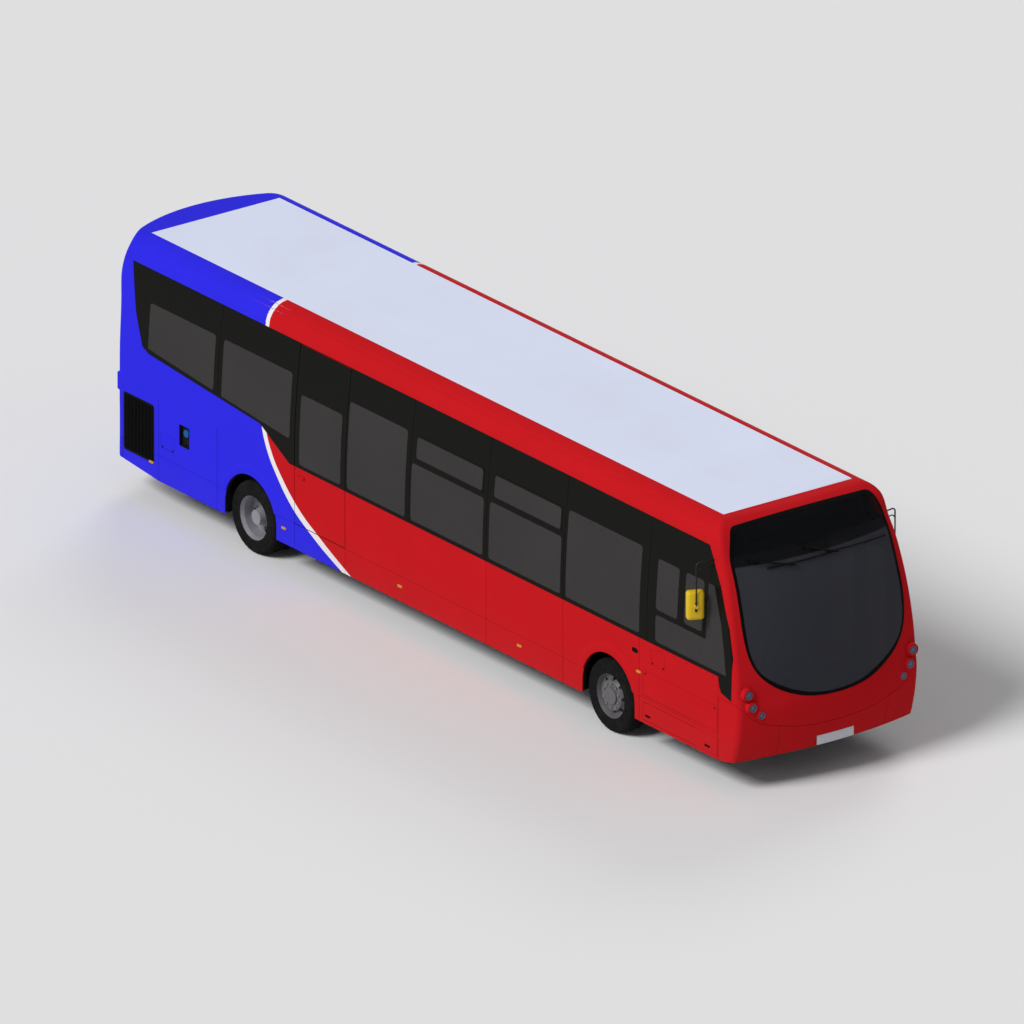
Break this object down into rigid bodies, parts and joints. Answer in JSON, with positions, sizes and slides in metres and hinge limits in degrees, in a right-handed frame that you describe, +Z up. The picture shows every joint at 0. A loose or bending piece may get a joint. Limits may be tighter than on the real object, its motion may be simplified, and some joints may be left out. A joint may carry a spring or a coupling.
{
  "type": "city bus",
  "caption": "Single-deck low-floor city bus with a two-leaf gliding door, emergency door, engine hatch, steered front wheels and twin rear wheels.",
  "frame": {"origin": "on the ground under the middle of the bus", "axes": "+X forward, +Y to the left (kerb) side with the passenger door, +Z up"},
  "size_m": [11.6995, 2.85, 2.97],
  "materials": {
    "roof_white": "gloss",
    "body_paint": "gloss",
    "band_black": "gloss",
    "tinted_glass": "tinted",
    "screen_glass": "tinted",
    "lamp_lens": "clear",
    "marker_lens": "gloss",
    "black_plastic": "satin",
    "black_rubber": "matt",
    "mirror_shell": "gloss",
    "cap_plastic": "satin",
    "floor_vinyl": "matt",
    "chassis_black": "satin",
    "cast_metal": "rough",
    "seat_moquette": "woven",
    "pole_coat": "satin",
    "dash_plastic": "matt",
    "door_frame": "satin",
    "wheel_paint": "satin",
    "tyre": "matt"
  },
  "bodies": {
    "bus_body": {"roof_panel": "roof_white", "cant_rails": "body_paint", "side_frame_right": "band_black", "side_frame_left": "band_black", "side_glazing": "tinted_glass", "side_panels_right": "body_paint", "side_panels_left": "body_paint", "front_moulding": "body_paint", "front_bumper": "body_paint", "windscreen": "screen_glass", "windscreen_seal": "black_rubber", "front_lamps": "lamp_lens", "windscreen_wipers": "black_plastic", "mirrors": "mirror_shell", "rear_moulding": "body_paint", "rear_bumper": "body_paint", "rear_window": "tinted_glass", "rear_lamps": "lamp_lens", "radiator_grille": "black_plastic", "filler_cap": "cap_plastic", "side_markers": "marker_lens", "saloon_floor": "floor_vinyl", "wheel_boxes": "floor_vinyl", "chassis_rails": "chassis_black", "cross_members": "chassis_black", "front_axle_beam": "chassis_black", "rear_axle": "chassis_black", "engine_block": "cast_metal", "passenger_seats": "seat_moquette", "stanchions": "pole_coat", "destination_box": "black_plastic", "driver_seat": "seat_moquette", "dashboard": "dash_plastic", "cab_platform": "floor_vinyl", "cab_screen": "dash_plastic", "door_portal": "band_black"},
    "cab_door": {"cab_door": "dash_plastic"},
    "door_post_front": {"door_post_front": "pole_coat"},
    "door_post_rear": {"door_post_rear": "pole_coat"},
    "door_leaf_front": {"door_leaf_front": "door_frame", "door_glass_front": "tinted_glass"},
    "door_leaf_rear": {"door_leaf_rear": "door_frame", "door_glass_rear": "tinted_glass"},
    "emergency_door": {"emergency_door": "body_paint", "emergency_glass": "tinted_glass"},
    "engine_cover": {"engine_cover": "body_paint"},
    "knuckle_right": {"knuckle_right": "cast_metal"},
    "knuckle_left": {"knuckle_left": "cast_metal"},
    "track_rod": {"track_rod": "chassis_black"},
    "wheel_front_right": {"rim_front_right": "wheel_paint", "tyre_front_right": "tyre"},
    "wheel_front_left": {"rim_front_left": "wheel_paint", "tyre_front_left": "tyre"},
    "wheels_rear_right": {"rim_rear_right": "wheel_paint", "tyres_rear_right": "tyre"},
    "wheels_rear_left": {"rim_rear_left": "wheel_paint", "tyres_rear_left": "tyre"}
  },
  "joints": [
    {"name": "door_front_turn", "type": "hinge", "parent": "bus_body", "child": "door_post_front", "pos_m": [5.009, 1.038, 0.405], "axis": [0, -0.0279, 0.9996], "range_deg": [0, 85]},
    {"name": "door_rear_turn", "type": "hinge", "parent": "bus_body", "child": "door_post_rear", "pos_m": [4.231, 1.038, 0.405], "axis": [0, -0.0279, 0.9996], "range_deg": [-85, 0]},
    {"name": "leaf_front_turn", "type": "hinge", "parent": "door_post_front", "child": "door_leaf_front", "pos_m": [4.889, 1.038, 0.405], "axis": [0, -0.0279, 0.9996], "range_deg": [-170, 0]},
    {"name": "leaf_rear_turn", "type": "hinge", "parent": "door_post_rear", "child": "door_leaf_rear", "pos_m": [4.351, 1.038, 0.405], "axis": [0, -0.0279, 0.9996], "range_deg": [0, 170]},
    {"name": "emergency_door_hinge", "type": "hinge", "parent": "bus_body", "child": "emergency_door", "pos_m": [-1.432, -1.222, 0.9], "axis": [0, 0, 1], "range_deg": [0, 100]},
    {"name": "engine_cover_hinge", "type": "hinge", "parent": "bus_body", "child": "engine_cover", "pos_m": [-5.816, 0, 1.15], "axis": [0, 1, 0], "range_deg": [0, 80]},
    {"name": "cab_door_hinge", "type": "hinge", "parent": "bus_body", "child": "cab_door", "pos_m": [4.166, -0.148, 0.9], "axis": [0, 0, 1], "range_deg": [0, 90]},
    {"name": "steering_left", "type": "hinge", "parent": "bus_body", "child": "knuckle_left", "pos_m": [3.325, 0.925, 0.419], "axis": [0, 0, 1], "range_deg": [-40, 40]},
    {"name": "steering_right", "type": "hinge", "parent": "bus_body", "child": "knuckle_right", "pos_m": [3.325, -0.925, 0.419], "axis": [0, 0, 1], "range_deg": [-40, 40]},
    {"name": "track_rod_pivot", "type": "hinge", "parent": "knuckle_left", "child": "track_rod", "pos_m": [3.085, 0.925, 0.226], "axis": [0, 0, 1], "range_deg": [-40, 40]},
    {"name": "front_left_spin", "type": "hinge", "parent": "knuckle_left", "child": "wheel_front_left", "pos_m": [3.325, 1.0675, 0.419], "axis": [0, 1, 0], "continuous": true},
    {"name": "front_right_spin", "type": "hinge", "parent": "knuckle_right", "child": "wheel_front_right", "pos_m": [3.325, -1.0675, 0.419], "axis": [0, 1, 0], "continuous": true},
    {"name": "rear_left_spin", "type": "hinge", "parent": "bus_body", "child": "wheels_rear_left", "pos_m": [-3.15, 0.93, 0.419], "axis": [0, 1, 0], "continuous": true},
    {"name": "rear_right_spin", "type": "hinge", "parent": "bus_body", "child": "wheels_rear_right", "pos_m": [-3.15, -0.93, 0.419], "axis": [0, 1, 0], "continuous": true}
  ],
  "couplings": [
    {"joint": "door_rear_turn", "follows": "door_front_turn", "ratio": -1},
    {"joint": "leaf_front_turn", "follows": "door_front_turn", "ratio": -2},
    {"joint": "leaf_rear_turn", "follows": "door_front_turn", "ratio": 2},
    {"joint": "steering_right", "follows": "steering_left", "ratio": 1},
    {"joint": "track_rod_pivot", "follows": "steering_left", "ratio": -1}
  ]
}
